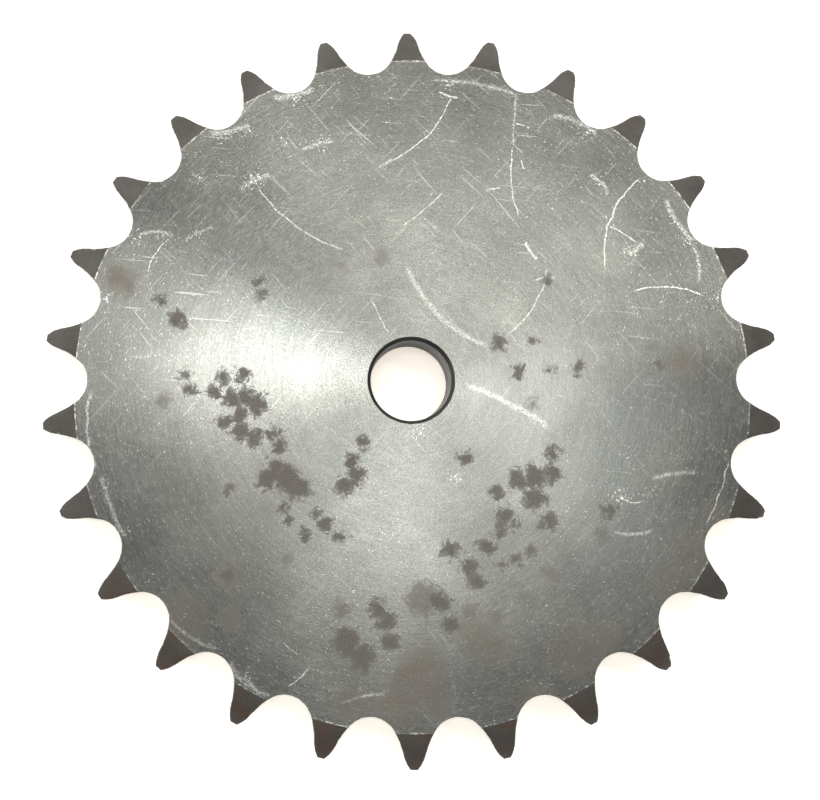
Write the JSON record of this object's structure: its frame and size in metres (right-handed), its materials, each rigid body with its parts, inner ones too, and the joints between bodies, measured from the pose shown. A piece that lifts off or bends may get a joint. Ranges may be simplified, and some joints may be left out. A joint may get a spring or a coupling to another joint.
{
  "type": "roller chain sprocket",
  "caption": "Flat hubless steel plate sprocket with a plain chamfered bore and teeth whose sides slope away, which drives or guides a single-strand roller chain.",
  "frame": {"origin": "centre of the bore in the plane of the back face, on which the plate lies", "axes": "+Z along the shaft axis from the back face to the front face, +Y through the middle of one tooth"},
  "size_m": [0.1672, 0.1684, 0.0117],
  "materials": {
    "turned_steel": "faces turned with fine concentric marks, dark tooth sides and oxide stains"
  },
  "bodies": {
    "root": {"sprocket_plate": "turned_steel"}
  },
  "joints": []
}
